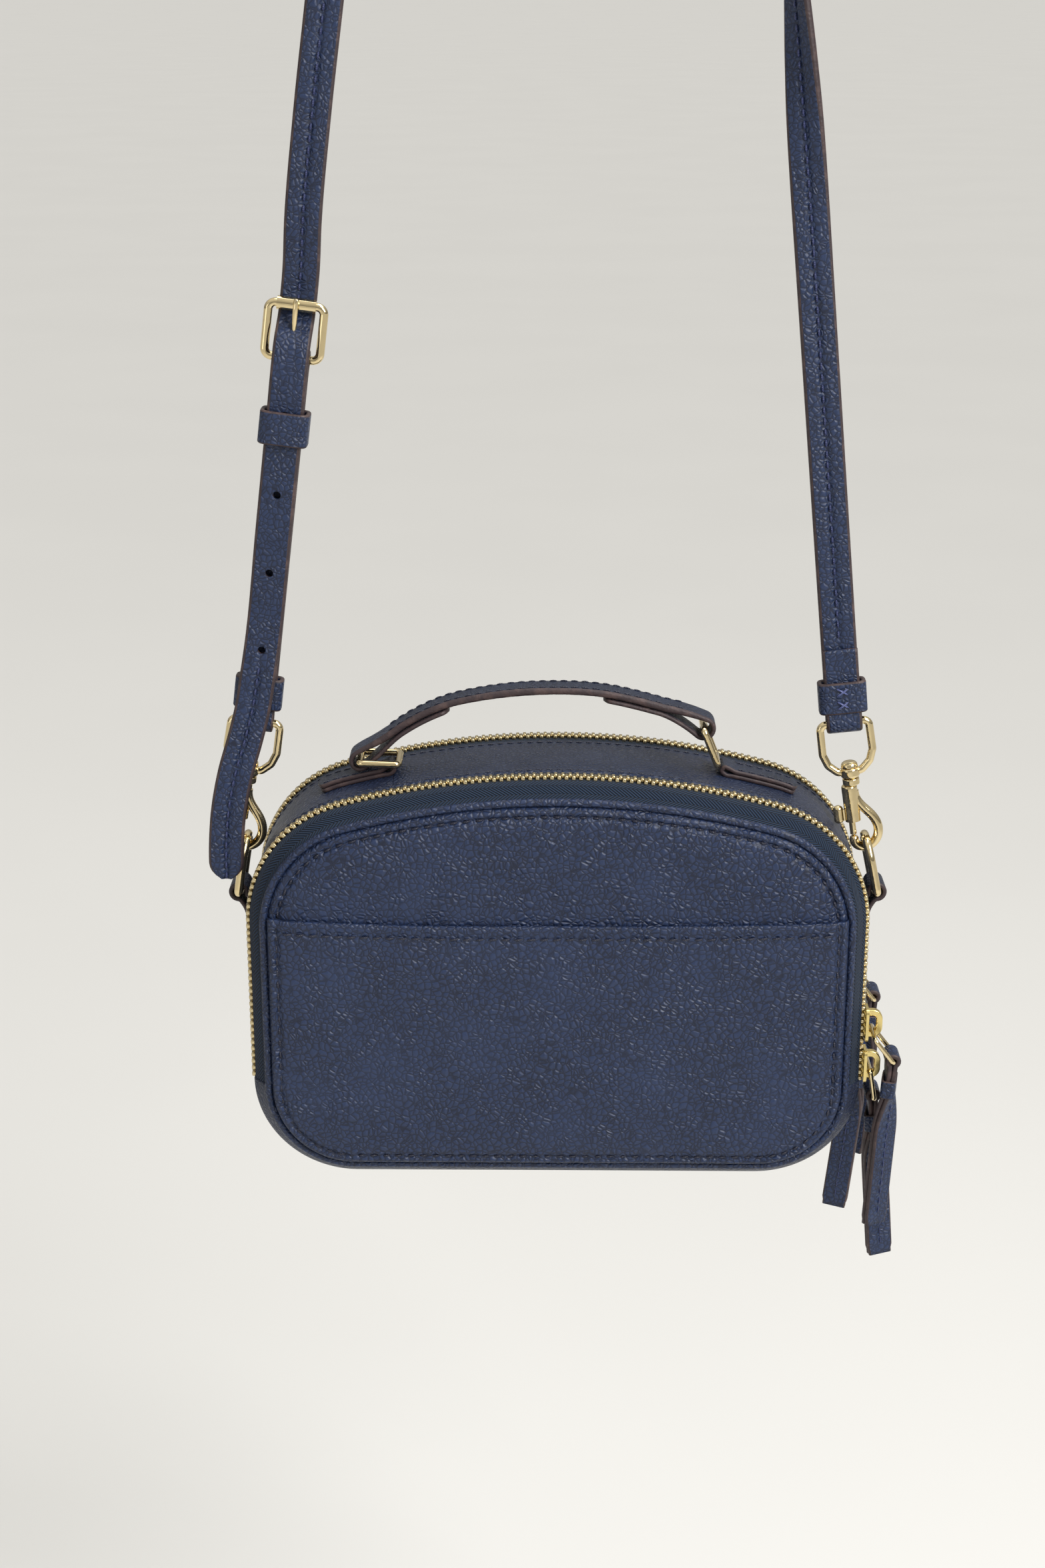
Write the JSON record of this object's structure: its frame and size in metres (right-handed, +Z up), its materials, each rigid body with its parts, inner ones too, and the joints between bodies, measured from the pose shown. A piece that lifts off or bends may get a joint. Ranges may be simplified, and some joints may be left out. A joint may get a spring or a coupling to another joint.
{
  "type": "crossbody purse",
  "caption": "Small arched leather purse with two zipped compartments, a top handle on rings and a buckled shoulder strap clipped to side rings.",
  "frame": {"origin": "underside of the shoulder strap where it lies over a peg, above the middle of the bag", "axes": "+Z up along the hanging strap, +X to the right of the bag seen from its front, the front pocket faces -Y"},
  "size_m": [0.2364, 0.0715, 0.7386],
  "materials": {
    "grained_leather": "pebbled, semi-gloss navy",
    "smooth_leather": "fine-grained, satin navy",
    "strap_leather": "fine-grained navy with painted brown edges",
    "pull_leather": "smooth navy with painted brown edges",
    "zip_tape": "woven blue herringbone",
    "lining_cloth": "woven beige cloth",
    "zip_metal": "polished pale gold",
    "gold_hardware": "polished pale gold plate"
  },
  "bodies": {
    "strap": {"strap_long": "strap_leather", "strap_short": "strap_leather", "strap_keeper_left": "strap_leather", "strap_keeper_right": "strap_leather", "strap_keeper_loose": "strap_leather", "buckle_frame": "gold_hardware", "clip_eye_left": "gold_hardware", "clip_eye_right": "gold_hardware"},
    "buckle_prong": {"buckle_prong": "gold_hardware"},
    "buckle_roller": {"buckle_roller": "gold_hardware"},
    "hook_left": {"clip_hook_left": "gold_hardware"},
    "hook_right": {"clip_hook_right": "gold_hardware"},
    "trigger_left": {"clip_trigger_left": "gold_hardware"},
    "trigger_right": {"clip_trigger_right": "gold_hardware"},
    "bag": {"gusset_band": "smooth_leather", "base_gusset": "smooth_leather", "divider": "lining_cloth", "front_lining": "lining_cloth", "rear_lining": "lining_cloth", "front_zip_teeth_inner": "zip_metal", "rear_zip_teeth_inner": "zip_metal", "front_zip_tape_inner": "zip_tape", "rear_zip_tape_inner": "zip_tape", "front_panel_foot": "grained_leather", "rear_panel_foot": "grained_leather", "front_welt_foot": "smooth_leather", "rear_welt_foot": "smooth_leather", "front_pocket_foot": "grained_leather", "handle_tab_left": "smooth_leather", "handle_tab_right": "smooth_leather", "side_tab_left": "smooth_leather", "side_tab_right": "smooth_leather"},
    "front_flap": {"front_panel": "grained_leather", "front_welt": "smooth_leather", "front_panel_lining": "lining_cloth", "front_pocket": "grained_leather", "front_zip_tape_outer": "zip_tape", "front_zip_teeth_outer": "zip_metal"},
    "rear_flap": {"rear_panel": "grained_leather", "rear_welt": "smooth_leather", "rear_panel_lining": "lining_cloth", "rear_zip_tape_outer": "zip_tape", "rear_zip_teeth_outer": "zip_metal"},
    "side_ring_left": {"side_ring_left": "gold_hardware"},
    "side_ring_right": {"side_ring_right": "gold_hardware"},
    "handle_ring_left": {"handle_ring_left": "gold_hardware"},
    "handle_ring_right": {"handle_ring_right": "gold_hardware"},
    "handle": {"handle": "strap_leather"},
    "front_slider_upper": {"front_slider_upper": "zip_metal"},
    "front_slider_upper_ring": {"front_slider_upper_ring": "zip_metal"},
    "front_slider_upper_pull": {"front_slider_upper_pull": "pull_leather"},
    "front_slider_lower": {"front_slider_lower": "zip_metal"},
    "front_slider_lower_ring": {"front_slider_lower_ring": "zip_metal"},
    "front_slider_lower_pull": {"front_slider_lower_pull": "pull_leather"},
    "rear_slider_upper": {"rear_slider_upper": "zip_metal"},
    "rear_slider_upper_ring": {"rear_slider_upper_ring": "zip_metal"},
    "rear_slider_upper_pull": {"rear_slider_upper_pull": "pull_leather"},
    "rear_slider_lower": {"rear_slider_lower": "zip_metal"},
    "rear_slider_lower_ring": {"rear_slider_lower_ring": "zip_metal"},
    "rear_slider_lower_pull": {"rear_slider_lower_pull": "pull_leather"}
  },
  "joints": [
    {"name": "bag_swing", "type": "hinge", "parent": "strap", "child": "bag", "pos_m": [-0.00056, 0, -0.58397], "axis": [1, 0, 0.0035], "range_deg": [-8, 20]},
    {"name": "front_flap_opening", "type": "hinge", "parent": "bag", "child": "front_flap", "pos_m": [0, -0.03655, -0.666], "axis": [1, 0, 0], "range_deg": [0, 75]},
    {"name": "rear_flap_opening", "type": "hinge", "parent": "bag", "child": "rear_flap", "pos_m": [0, 0.03505, -0.666], "axis": [-1, 0, 0], "range_deg": [0, 75]},
    {"name": "clip_swivel_left", "type": "hinge", "parent": "strap", "child": "hook_left", "pos_m": [-0.1025, 0, -0.543], "axis": [0.165, 0, 0.9863], "range_deg": [-18, 18]},
    {"name": "clip_trigger_left", "type": "slide", "parent": "hook_left", "child": "trigger_left", "axis": [0.165, 0, 0.9863], "range_m": [0, 0.0055], "stiffness_N_per_m": 300, "springref_m": -0.003},
    {"name": "side_ring_left", "type": "hinge", "parent": "bag", "child": "side_ring_left", "pos_m": [-0.11, 0, -0.60339], "axis": [0, 1, 0], "range_deg": [-1.5, 1.5]},
    {"name": "clip_swivel_right", "type": "hinge", "parent": "strap", "child": "hook_right", "pos_m": [0.0968, 0, -0.543], "axis": [-0.1564, 0, 0.9877], "range_deg": [-18, 18]},
    {"name": "clip_trigger_right", "type": "slide", "parent": "hook_right", "child": "trigger_right", "axis": [-0.1564, 0, 0.9877], "range_m": [0, 0.0055], "stiffness_N_per_m": 300, "springref_m": -0.003},
    {"name": "side_ring_right", "type": "hinge", "parent": "bag", "child": "side_ring_right", "pos_m": [0.11, 0, -0.60243], "axis": [0, 1, 0], "range_deg": [-1.5, 1.5]},
    {"name": "buckle_prong", "type": "hinge", "parent": "strap", "child": "buckle_prong", "pos_m": [-0.08657, 0, -0.42033], "axis": [0.9917, 0, -0.1288], "range_deg": [0, 18]},
    {"name": "buckle_roller", "type": "hinge", "parent": "strap", "child": "buckle_roller", "pos_m": [-0.08435, 0, -0.40327], "axis": [0.9917, 0, -0.1288], "continuous": true},
    {"name": "front_slider_upper_slide", "type": "slide", "parent": "bag", "child": "front_slider_upper", "axis": [0, 0, 1], "range_m": [0, 0.02]},
    {"name": "front_slider_upper_ring", "type": "hinge", "parent": "front_slider_upper", "child": "front_slider_upper_ring", "pos_m": [0.1082, -0.026, -0.646], "axis": [0, -1, 0], "range_deg": [0, 40]},
    {"name": "front_slider_upper_pull", "type": "hinge", "parent": "front_slider_upper_ring", "child": "front_slider_upper_pull", "pos_m": [0.11497, -0.0269, -0.65467], "axis": [0, -1, 0], "range_deg": [-2, 45]},
    {"name": "front_slider_lower_slide", "type": "slide", "parent": "bag", "child": "front_slider_lower", "axis": [0, 0, 1], "range_m": [0, 0.003]},
    {"name": "front_slider_lower_ring", "type": "hinge", "parent": "front_slider_lower", "child": "front_slider_lower_ring", "pos_m": [0.1082, -0.018, -0.6615], "axis": [0, -1, 0], "range_deg": [-6, 6]},
    {"name": "front_slider_lower_pull", "type": "hinge", "parent": "front_slider_lower_ring", "child": "front_slider_lower_pull", "pos_m": [0.11011, -0.0171, -0.67233], "axis": [0, -1, 0], "range_deg": [-6, 6]},
    {"name": "rear_slider_upper_slide", "type": "slide", "parent": "bag", "child": "rear_slider_upper", "axis": [0, 0, 1], "range_m": [0, 0.015]},
    {"name": "rear_slider_upper_ring", "type": "hinge", "parent": "rear_slider_upper", "child": "rear_slider_upper_ring", "pos_m": [0.1082, 0.026, -0.646], "axis": [0, -1, 0], "range_deg": [0, 40]},
    {"name": "rear_slider_upper_pull", "type": "hinge", "parent": "rear_slider_upper_ring", "child": "rear_slider_upper_pull", "pos_m": [0.11497, 0.0269, -0.65467], "axis": [0, -1, 0], "range_deg": [-2, 45]},
    {"name": "rear_slider_lower_slide", "type": "slide", "parent": "bag", "child": "rear_slider_lower", "axis": [0, 0, 1], "range_m": [0, 0.003]},
    {"name": "rear_slider_lower_ring", "type": "hinge", "parent": "rear_slider_lower", "child": "rear_slider_lower_ring", "pos_m": [0.1082, 0.018, -0.6615], "axis": [0, -1, 0], "range_deg": [-6, 6]},
    {"name": "rear_slider_lower_pull", "type": "hinge", "parent": "rear_slider_lower_ring", "child": "rear_slider_lower_pull", "pos_m": [0.11011, 0.0171, -0.67233], "axis": [0, -1, 0], "range_deg": [-3, 10]},
    {"name": "handle_lift", "type": "hinge", "parent": "bag", "child": "handle_ring_left", "pos_m": [-0.054, 0, -0.55649], "axis": [0, 1, 0], "range_deg": [0, 50]},
    {"name": "handle_on_left_ring", "type": "hinge", "parent": "handle_ring_left", "child": "handle", "pos_m": [-0.06729, 0, -0.55603], "axis": [0, 1, 0], "range_deg": [-48, 1]},
    {"name": "handle_right_ring", "type": "hinge", "parent": "bag", "child": "handle_ring_right", "pos_m": [0.054, 0, -0.55649], "axis": [0, 1, 0], "range_deg": [-1, 24]}
  ],
  "couplings": [
    {"joint": "handle_on_left_ring", "follows": "handle_lift", "ratio": -0.91},
    {"joint": "handle_right_ring", "follows": "handle_lift", "ratio": 0.44}
  ]
}
